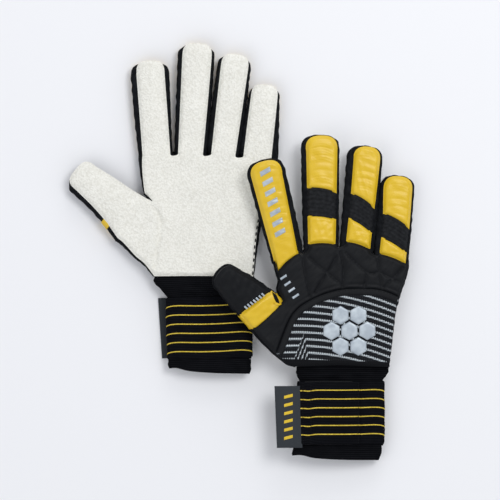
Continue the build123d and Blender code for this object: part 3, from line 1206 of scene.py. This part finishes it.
def make_digit_gusset(glove, digit):
    """The cloth down a digit's sides and round its tip. Its ends go into the crotches or under the hand's."""
    is_finger = digit.name in FINGERS
    tail = 7.0 if is_finger else 4.0

    def with_ends(line, inset):
        ends = []
        for side, last in ((0, "index"), (1, "little")):
            if is_finger and digit.name != last:
                ends.append(crotch_arc(glove, digit, side, inset))
            else:
                ends.append((line[-1:] if side else line[:1]) - (0, tail))
        return spaced(joined(ends[0], line, ends[1]), 1.2)

    def tucked(on_palm, short):
        rim = rim_on(glove, digit, on_palm)
        inner = Rim(tuple(x + 1.3 for x in rim.left), tuple(x - 1.3 for x in rim.right), GUSSET_BASE)
        return with_ends(digit_rim(digit, inner, short), 1.25)

    even = Rim(digit.outer.left, digit.outer.right, GUSSET_BASE)
    outer_line = with_ends(digit_rim(digit, even, 0.9 if glove.palm_up else 0.0), 0.45)
    stem = f"{glove.name}_{digit.name}"
    palm_line, back_line = tucked(True, 3.6 if glove.palm_up else 2.4), tucked(False, 2.4)
    piece = make_gusset(f"{stem}_gusset", palm_line, outer_line, back_line, digit_place(glove, digit), glove,
                        DIGIT_SEAM, f"{stem}_side_strips")
    bend_with(piece, glove, digit)


# ---------------------------------------------------------------------------------------------
# Hands


def outer_sides(glove):
    """The hand's three free edges in its plane, anticlockwise: little side up, web, thumb side down."""
    little, index, thumb = (digit_named(glove, n) for n in ("little", "index", "thumb"))
    little_end = in_plane(little, [(little.outer.right[0], 1.0)])
    index_end = in_plane(index, [(index.outer.left[0], 1.0)])
    thumb_ends = in_plane(thumb, [(thumb.outer.right[0], 1.0), (thumb.outer.left[0], 1.0)])
    little_side = curve(np.vstack([little_end, glove.little_side]))[::-1]
    web = curve(np.vstack([index_end, glove.web[::-1], thumb_ends[:1]]))
    thumb_side = curve(np.vstack([thumb_ends[1:], glove.thumb_side]))
    return little_side, web, thumb_side


def hand_sides(glove, on_palm):
    """The same three edges moved in to where a panel ends, meeting the digits' panels."""
    little_side, web, thumb_side = outer_sides(glove)
    shown = on_palm == glove.palm_up
    far, near = glove.little_inset if shown else (2.4, 1.4)
    little_side = moved_in(little_side, near, far)
    web = moved_in(web, 3.4 if shown else 1.8, 0.7)
    if on_palm:
        thumb_side = moved_in(thumb_side, 3.2, 1.2)
    else:
        thumb_side = moved_in(thumb_side, 2.4, 1.0 if shown else 2.0)

    def end(name, side):
        return corner(glove, digit_named(glove, name), on_palm, side)

    little_side = np.vstack([little_side[:-4], end("little", 1)])
    web = np.vstack([end("index", 0), web[4:-4], end("thumb", 1)])
    thumb_side = np.vstack([end("thumb", 0), thumb_side[4:]])
    return spaced(little_side, 1.1), spaced(web, 1.1), spaced(thumb_side, 1.1)


def finger_roots(glove, on_palm):
    """The line over the fingers' roots, from the little finger's, as (line, whether it is a fold) parts."""
    parts = []
    for name in reversed(FINGERS):
        digit = digit_named(glove, name)
        rim = rim_on(glove, digit, on_palm)
        line = digit_rim(digit, rim)
        base = base_line(line[-1], line[0], rim.arch if not on_palm else 0.0)
        parts.append((in_plane(digit, base), on_palm))
        k = FINGERS.index(name)
        if k > 0:
            other = corner(glove, digit_named(glove, FINGERS[k - 1]), on_palm, 1)
            here = in_plane(digit, line[:1])[0]
            parts.append((notch(other, here)[::-1], False))
    return parts


def thumb_root(glove, on_palm):
    digit = digit_named(glove, "thumb")
    line = digit_rim(digit, rim_on(glove, digit, on_palm))
    return in_plane(digit, base_line(line[-1], line[0], 0.0))


def ring_of(parts):
    """(closed outline, its free edges) from (line, whether it is a fold) parts."""
    ring = joined(*(line for line, _ in parts))
    if np.linalg.norm(ring[0] - ring[-1]) < SAME_POINT:
        ring = ring[:-1]
    return ring, [line for line, fold in parts if not fold]


def hand_panel(name, parts, outer, inner, glove, on_palm, finish, step):
    ring, free = ring_of(parts)
    return panel(name, ring, free, outer, inner_face(inner), glove_place(glove), face_of(glove, on_palm),
                 finish, step)


def make_palm(glove):
    little_side, web, thumb_side = hand_sides(glove, True)
    low = np.array([thumb_side[-1], little_side[0]])
    parts = [(little_side, False), *finger_roots(glove, True), (web, False), (thumb_root(glove, True), True),
             (thumb_side, False), (curve([low[0], low.mean(0) + (0, 0.6), low[1]]), False)]
    folds = [line for line, fold in parts if fold]
    crease = curve([(-47, 63), (-40, 52), (-38.5, 40), (-42, 20), (-44, 8)])
    soft = curve([(-34, 90), (-30, 70), (-10, 62), (20, 66), (44, 84)])

    def outer(x, y, gap):
        at = np.column_stack([x, y])
        settle = ease(far_from(at, folds) / 14.0)
        fold = distance(at, crease)
        arch = distance(at, soft)
        dent = 1.5 * np.exp(-((fold / 2.0) ** 2)) - 0.8 * np.exp(-(((fold - 5) / 4) ** 2))
        hollow = 0.5 * np.exp(-((arch / 9) ** 2))
        waves = 0.35 * ripple(x, y, 24.0, 3) + 0.16 * ripple(x, y, 8.0, 4)
        roll = 2.1 * (1 - ease(gap / 3.6)) ** 1.5
        return 0.25 + roll + (0.35 + dent + hollow + waves) * settle * ease(gap / 6)

    sewn = moved_in(little_side, 0.7, 0.7)
    deep = outer(*sewn.T, np.full(len(sewn), 0.7)) - 0.15
    row = np.column_stack([sewn, face_of(glove, True)(deep)])
    stitches(f"{glove.name}_palm_edge_stitches", row[3 : len(row) * 4 // 5], glove_place(glove),
             5.4, 3.6, 0.62, glove.hand_body)
    if glove.palm_up:
        wedge = [(-53.0, 70.2), (-49.6, 67.1), (-45.8, 64.2), (-45.2, 64.7), (-48.7, 68.5), (-52.0, 71.4)]
        piece = patch(f"{glove.name}_crotch_gusset", wedge,
                      lambda x, y: outer(x, y, distance(np.column_stack([x, y]), web)),
                      glove_place(glove), face_of(glove, True), gusset, 0.3)
        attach(piece, glove.hand_body)
    piece = hand_panel(f"{glove.name}_palm_skin", parts, outer, LATEX, glove, True, latex, 1.3)
    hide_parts(f"{glove.name}_palm_latex")
    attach(piece, glove.hand_body)


def make_back(glove):
    little_side, web, thumb_side = hand_sides(glove, False)
    seam = curve(BACK_SEAM, 0.8)
    roots, thumb = [line for line, _ in finger_roots(glove, False)], thumb_root(glove, False)
    seam = seam[inside(seam, joined(little_side, *roots, web, thumb, thumb_side))]
    left_end, right_end = seam[0], seam[-1]
    little_low, little_high = cut_at(little_side, right_end)
    thumb_high, thumb_low = cut_at(thumb_side, left_end)
    seam = np.vstack([thumb_high[-1], seam[1:-1], little_high[0]])
    upper_parts = [(line, False) for line in (little_high, *roots, web, thumb, thumb_high, seam)]
    quilt = [curve(line) for line in QUILT]

    def outer(x, y, gap):
        at = np.column_stack([x, y])
        groove = far_from(at, quilt)
        border = distance(at, seam)
        dent = 0.95 * np.exp(-((groove / 0.95) ** 2)) + 0.55 * np.exp(-((groove / 3.0) ** 2))
        double = 0.5 * np.exp(-(((border - 4.0) / 1.2) ** 2))
        roll = 1.9 * (1 - ease(gap / 2.8)) ** 1.5
        waves = 0.3 * ripple(x, y, 18.0, 8) + 0.12 * ripple(x, y, 5.0, 9)
        return 0.7 + roll + (dent + double + waves) * ease(gap / 2.5)

    piece = hand_panel(f"{glove.name}_backhand_skin", upper_parts, outer, PAD, glove, False, backhand, 0.95)
    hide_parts(f"{glove.name}_backhand_panel")
    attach(piece, glove.hand_body)
    across, down = np.array((5.2, 3.4)) / 2, np.array((-1.05, 1.6)) / 2
    for k, spot in enumerate(BACK_MARKS):
        ring = [spot + a * across + b * down for a, b in ((-1, -1), (1, -1), (1, 1), (-1, 1))]
        piece = patch(f"{glove.name}_backhand_mark_{k + 1}", ring, away_from_edges(outer), glove_place(glove),
                      face_of(glove, False), silver, 0.3)
        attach(piece, glove.hand_body)

    low = np.array([thumb_low[-1], little_low[0]])
    foot = curve([low[0], low.mean(0) + (0, 1.2), low[1]])
    lower_parts = [(line, False) for line in (little_low, seam[::-1], thumb_low, foot)]

    def knit_outer(x, y, gap):
        waves = 0.35 * ripple(x * 0.5, y, 12.0, 12) + 0.12 * ripple(x, y, 5.0, 13)
        return 1.35 + 1.3 * (1 - ease(gap / 2.6)) ** 1.5 + waves * ease(gap / 6) * emblem_clear(x, y)

    piece = hand_panel(f"{glove.name}_knit_skin", lower_parts, knit_outer, PAD, glove, False, knit, 1.2)
    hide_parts(f"{glove.name}_knit_panel")
    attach(piece, glove.hand_body)
    make_border(glove, seam)


def emblem_clear(x, y):
    """0 under the emblem, 1 away from it."""
    away = np.hypot(x - EMBLEM_AT[0], y - EMBLEM_AT[1])
    return ease((away - CELL_PITCH * 1.5) / 6.0)


def make_border(glove, seam):
    """The raised band that covers the seam across the back, on the knit's side of it."""
    face = face_of(glove, False)
    half, rise, inset = 2.9, 1.25, 2.6
    centre = moved_in(spaced(seam, 1.0), -inset, -inset)[1:-1]
    normal = sideways(centre)
    turns = np.linspace(0, math.tau, 25)[:-1]
    rows = []
    for t in turns:
        c, d = math.cos(t), math.sin(t)
        flat = centre + normal * half * math.copysign(abs(c) ** 0.6, c)
        z = face(1.95 - rise * math.copysign(abs(d) ** 0.6, d))
        rows.append(np.column_stack([flat, np.full(len(centre), z)]))
    count = len(centre)
    faces = round_faces(len(rows), count)
    faces += [[i * count + end for i in range(len(rows))] for end in (0, count - 1)]
    points = np.vstack(rows)
    place = glove_place(glove)
    piece = make_piece(f"{glove.name}_seam_border", points, faces, place, points[:, :2], backhand)
    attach(piece, glove.hand_body)
    for side, offset in (("upper", 1.9), ("lower", -1.9)):
        line = np.column_stack([centre + normal * offset, np.full(count, face(0.72))])
        stitches(f"{glove.name}_border_{side}_stitches", line, place, 2.6, 1.8, 0.22, glove.hand_body)


def make_hand_walls(glove):
    """The cloth strips along the hand's free edges."""
    outers = outer_sides(glove)
    palms, backs = hand_sides(glove, True), hand_sides(glove, False)
    for name, outer, palm, back in zip(("little_side", "web", "thumb_side"), outers, palms, backs):
        node = f"{glove.name}_hand_side_strips" if name == "little_side" else None
        lines = (moved_in(palm, TUCK, TUCK), spaced(outer, 1.2), moved_in(back, TUCK, TUCK))
        piece = make_gusset(f"{glove.name}_{name}_wall", *(line[::-1] for line in lines), glove_place(glove),
                            glove, PALM_SEAM, node)
        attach(piece, glove.hand_body)


def make_emblem(glove):
    """Seven raised cells with soft edges, on the knit panel."""
    face = face_of(glove, False)
    turns = [math.radians(60 * i) for i in range(6)]
    corners = [np.array((math.cos(t), math.sin(t))) for t in (math.radians(60 * i + 30) for i in range(6))]
    around = CELL_SIDE * len(corners)
    radius = CELL_FLATS / math.sqrt(3)
    points, faces, pattern = [], [], []
    for apart in ((0.0, 0.0), *((math.cos(t), math.sin(t)) for t in turns)):
        centre = np.array(EMBLEM_AT) + CELL_PITCH * np.array(apart)
        first = len(points)
        for inset, depth in CELL_PROFILE:
            for start, end in zip(corners, corners[1:] + corners[:1]):
                for k in range(CELL_SIDE):
                    at = centre + (start + (end - start) * (k / CELL_SIDE)) * (radius - inset)
                    points.append((*at, face(depth + 0.05)))
                    pattern.append(at)
        top = first + (len(CELL_PROFILE) - 1) * around
        for row in range(first, top, around):
            for k in range(around):
                a, b = row + k, row + (k + 1) % around
                faces.append((a, b, b + around, a + around))
        faces.append(list(range(top, top + around)))
        faces.append(list(range(first, first + around))[::-1])
    piece = make_piece(f"{glove.name}_honeycomb", points, faces, glove_place(glove), pattern, silver,
                       math.radians(60))
    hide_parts(f"{glove.name}_emblem_cells")
    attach(piece, glove.hand_body)


# ---------------------------------------------------------------------------------------------
# Cuffs


def cuff_frame(glove):
    """A glove's cuff, its place, the height of its middle and which way its strap's end faces."""
    cuff = CUFFS[glove.name]
    place = glove_place(glove) @ shift(cuff.middle) @ turned("Z", cuff.turn)
    lift = THICK - CUFF_THICK if glove.palm_up else 0.0
    return cuff, place, lift + CUFF_THICK / 2, (-1 if glove.palm_up else 1)


def rounded(values, power):
    """Sines or cosines for a round that is squarer than a circle."""
    return np.sign(values) * np.abs(values) ** (2 / power)


def tube(name, stations, place, finish, wall=SLEEVE_WALL, wobble=0.0, seed=1, lean=0.0, power=2.3,
         notched=None):
    """A flattened tube along v. Each station is (v, middle, half width, half thickness, z). Its ends slope by
    lean, and its hem at v = notched has a notch."""
    turns = np.linspace(0, math.tau, TUBE_TURNS, endpoint=False)
    c, s = np.cos(turns), np.sin(turns)
    wide, tall = rounded(c, power), rounded(s, power)
    skins = []
    for inward in (0.0, wall):
        rows = []
        for v, middle, half, thick, z in stations:
            level = np.full(TUBE_TURNS, v)
            x = middle + (half - inward) * wide
            swell = wobble * ripple(x * 0.35, level, 5.2, seed)
            out = 0.3 * wobble * ripple(x * 0, level, 5.0, seed + 2) * np.sign(c) * np.abs(c) ** 3
            high = z + (thick - inward) * tall * (1 + swell / 9)
            side = (x - middle) / half
            along = v + lean * side
            if notched is not None:
                worn = 1.7 * np.exp(-(((side + 0.82) / 0.2) ** 2)) - 0.5 * np.cos(2.6 * side)
                along = along + ease(1 - (v - notched) / 8.0) * worn
            rows.append(np.column_stack([x + out, along, high]))
        skins.append(rows)
    rows = skins[0] + skins[1][::-1]
    points = np.vstack(rows)
    pattern = np.column_stack([np.tile(turns, len(rows)) / math.tau * 160, points[:, 1]])
    return make_piece(name, points, round_faces(len(rows), TUBE_TURNS, True), place, pattern, finish)


def make_sleeve(glove):
    """The elastic sleeve: gathered above the strap, hidden under it, and its hem below it."""
    cuff, place, z, _ = cuff_frame(glove)
    low, high = cuff.strap
    half = cuff.width / 2 - 1.6
    thick = CUFF_THICK / 2 - STRAP_WALL - 0.3
    throat_middle, throat_half, run = cuff.throat
    top = 3.0
    gather = []
    for v in np.linspace(high - 7, top, 44):
        t, tuck = ease((v - high + 1.5) / run), ease((v + 3.5) / 3.5)
        puff = 1.5 * ease((v - high + 1.5) / 10.0) * (1 - tuck) - 1.2 * tuck
        middle, wide = t * (throat_middle - cuff.middle), half + (throat_half - half) * t - 0.8 * tuck
        gather.append((v, middle, wide, thick + puff, z))
    piece = tube(f"{glove.name}_gathered_wrist", gather, place, sleeve_cloth, wobble=1.5, seed=21)
    if glove.hand_body == glove.cuff_body:
        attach(piece, glove.cuff_body)
    else:
        world_point(place, high + 1.5)
        world_point(place, top - 1)
        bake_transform(piece)
    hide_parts(f"{glove.name}_cuff_sleeve")

    left_hem, right_hem = cuff.hem
    bottom, tilt = (left_hem + right_hem) / 2, (right_hem - left_hem) / 2
    inner = [(v, 0, half + 0.3, thick, z) for v in np.linspace(low - 1.5, high - 6.5, 12)]
    hem_middle, hem_half = cuff.hem_width
    hem = []
    for v in np.linspace(bottom, low + 1.0, 30):
        t, rise = ease((v - bottom) / 2.0), ease((v - bottom) / 9.0)
        middle, wide = hem_middle * (1 - 0.4 * rise), hem_half - 0.8 * (1 - t)
        hem.append((v, middle, wide, thick + 0.9 - 1.0 * (1 - t), z))
    for piece in (tube(f"{glove.name}_hidden_sleeve", inner, place, sleeve_cloth),
                  tube(f"{glove.name}_sleeve_hem", hem, place, sleeve_cloth, wobble=1.0, seed=5, lean=tilt,
                       notched=bottom)):
        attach(piece, glove.cuff_body)


def make_strap(glove):
    cuff, place, z, _ = cuff_frame(glove)
    low, high = cuff.strap
    rows = []
    for v in np.linspace(low, high, 70):
        slack = 0.5 * (1 - ease(min(v - low, high - v) / 1.5))
        wave = 0.25 * math.sin(v / 3.1) + 0.2 * math.sin(v / 7.7 + 1)
        rows.append((v, 0, cuff.width / 2 - slack + wave * 0.5, CUFF_THICK / 2 - slack, z))
    piece = tube(f"{glove.name}_striped_strap", rows, place, straps[glove.name], STRAP_WALL, 0.35, 9,
                 power=2.6)
    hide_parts(f"{glove.name}_wrist_strap")
    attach(piece, glove.cuff_body)


def slab(name, x_range, y_range, heights, height_of, place, finish, step=0.8, waves=1.0, shear=0.0):
    """A flat sheet with soft edges, from the lower to the upper of two heights over the strap."""
    xs = np.arange(x_range[0], x_range[1] + step / 2, step)
    ys = np.arange(y_range[0], y_range[1] + step / 2, step)
    gx, gy = np.meshgrid(xs, ys)
    edge = np.minimum.reduce([gx - xs[0], xs[-1] - gx, gy - ys[0], ys[-1] - gy])
    roll = 0.6 * (1 - ease(edge / 1.2))
    bow = 0.35 * np.sin(math.pi * (gx - xs[0]) / (xs[-1] - xs[0])) * waves
    top = heights[1] + bow + 0.18 * waves * ripple(gx * 0.6, gy, 8.0, 31) - roll - 0.25
    flat = np.column_stack([(gx + shear * (gy - np.mean(y_range))).ravel(), gy.ravel()])
    skins = [np.column_stack([flat, height_of(h.ravel())]) for h in (top, heights[0] + roll * 0.4)]
    rows, columns = gx.shape
    n = rows * columns
    faces = []
    for a in (i * columns + j for i in range(rows - 1) for j in range(columns - 1)):
        quad = (a, a + 1, a + columns + 1, a + columns)
        faces += [quad, tuple(q + n for q in reversed(quad))]
    loop = [*range(columns), *range(2 * columns - 1, n, columns), *range(n - 2, n - columns - 1, -1),
            *range(n - 2 * columns, 0, -columns)]
    faces += [(b, a, a + n, b + n) for a, b in zip(loop, loop[1:] + loop[:1])]
    bend = 0.9 * np.sin((gx - x_range[0]) / 24.0) - 0.7 * np.exp(-(((gx - x_range[0] - 8) / 4.0) ** 2)) - 0.5
    pattern = np.column_stack([gx.ravel() * 0.6 + 40, (gy - bend * waves).ravel()])
    return make_piece(name, np.vstack(skins), faces, place, np.vstack([pattern, pattern]), finish)


def make_strap_end(glove):
    """The end of the strap that lies over it, with the woven pull tab at its free end."""
    cuff, place, z, facing = cuff_frame(glove)
    low, high = cuff.strap
    u0, u1 = cuff.flap[0] - cuff.middle, cuff.flap[1] - cuff.middle
    body = f"{glove.name}_strap_end"
    surface = z + facing * CUFF_THICK / 2
    rise = THICK - CUFF_THICK

    def height_of(over):
        return surface + facing * over

    flap = slab(f"{glove.name}_strap_end_cloth", (u0, u1), (low + 0.2, high - 0.2), (0.85, rise), height_of,
                place, straps[glove.name])
    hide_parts(f"{glove.name}_strap_flap")
    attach(flap, body)
    tab_low, tab_high = (low + 0.3, high - 0.3) if glove.palm_up else (low - 2.6, high - 3.4)
    tab = slab(f"{glove.name}_pull_tab_webbing", (u0 - cuff.tab, u0 + 1.5), (tab_low, tab_high),
               (rise - 1.5, rise + 0.15), height_of, place, webbing, 1.0, 0.3, shear=-0.04)
    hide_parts(f"{glove.name}_pull_tab")
    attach(tab, body)
    for k, y in enumerate(np.linspace(tab_low + 9, tab_high - 9, 6)):
        piece = patch(f"{glove.name}_tab_mark_{k + 1}", bar((u0 - cuff.tab * 0.47, y), 7.4, 2.6, 0.9),
                      lambda x, y: 0 * x - rise - 0.02, place, lambda depth: height_of(-depth),
                      yellow_thread, 0.25)
        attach(piece, body)
    ys = np.linspace(low + 1.6, high - 1.6, 60)
    for k, x in enumerate((u0 + 2.9, u0 + 9.8, u1 - 1.6)):
        row = np.column_stack([0 * ys + x, ys, 0 * ys + height_of(rise + 0.05)])
        stitches(f"{glove.name}_strap_seam_{k + 1}", row, place, 2.0, 1.5, 0.3, body)
    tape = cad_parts[f"{glove.name}_hook_patch"].data.materials
    tape.clear()
    tape.append(hooks)


# ---------------------------------------------------------------------------------------------
# Stage


def make_floor():
    size = 3.0
    mesh = bpy.data.meshes.new("floor")
    corners = [(-size, -size, 0), (size, -size, 0), (size, size, 0), (-size, size, 0)]
    mesh.from_pydata(corners, [], [(0, 1, 2, 3)])
    floor = bpy.data.objects.new("floor", mesh)
    bpy.context.collection.objects.link(floor)
    material = bpy.data.materials.new("pale_floor")
    material.use_nodes = True
    shader = material.node_tree.nodes["Principled BSDF"]
    shader.inputs["Base Color"].default_value = (0.858, 0.862, 0.878, 1)
    shader.inputs["Roughness"].default_value = 0.9
    shader.inputs["Specular IOR Level"].default_value = 0.1
    mesh.materials.append(material)


def add_light(name, at, size, watts):
    """A round lamp that faces the middle of the floor."""
    light = bpy.data.lights.new(name, "AREA")
    light.shape = "DISK"
    light.size = size
    light.energy = watts
    lamp = bpy.data.objects.new(name, light)
    lamp.location = at
    lamp.rotation_euler = (-Vector(at)).to_track_quat("-Z", "Y").to_euler()
    bpy.context.collection.objects.link(lamp)


def make_lights():
    add_light("soft_key", (0.82, 0.72, 1.9), 1.0, 16.8)
    add_light("soft_fill", (-1.2, -0.6, 1.5), 1.6, 5)
    add_light("low_rim", (0.2, 1.6, 0.8), 0.8, 4)
    world = bpy.data.worlds.new("studio")
    world.use_nodes = True
    sky = world.node_tree.nodes["Background"].inputs
    sky["Color"].default_value = (0.93, 0.95, 1.0, 1)
    sky["Strength"].default_value = 0.65
    bpy.context.scene.world = world


def make_camera():
    data = bpy.data.cameras.new("camera")
    data.sensor_width = 36.0
    height, view_width = 3.0, 0.430
    data.lens = data.sensor_width * height / view_width
    camera = bpy.data.objects.new("camera", data)
    camera.location = (0.00654, 0.00111, height + MM * 14)
    bpy.context.collection.objects.link(camera)
    bpy.context.scene.camera = camera


def main():
    for glove in (LEFT, RIGHT):
        for digit in glove.digits:
            make_digit_latex(glove, digit)
            if digit.name == "thumb":
                make_thumb_back(glove, digit)
            else:
                make_digit_back(glove, digit)
            make_digit_gusset(glove, digit)
        make_palm(glove)
        make_back(glove)
        make_hand_walls(glove)
        make_emblem(glove)
        make_sleeve(glove)
        make_strap(glove)
        make_strap_end(glove)
    make_floor()
    make_lights()
    make_camera()
    bpy.context.scene.view_settings.view_transform = "Standard"


main()
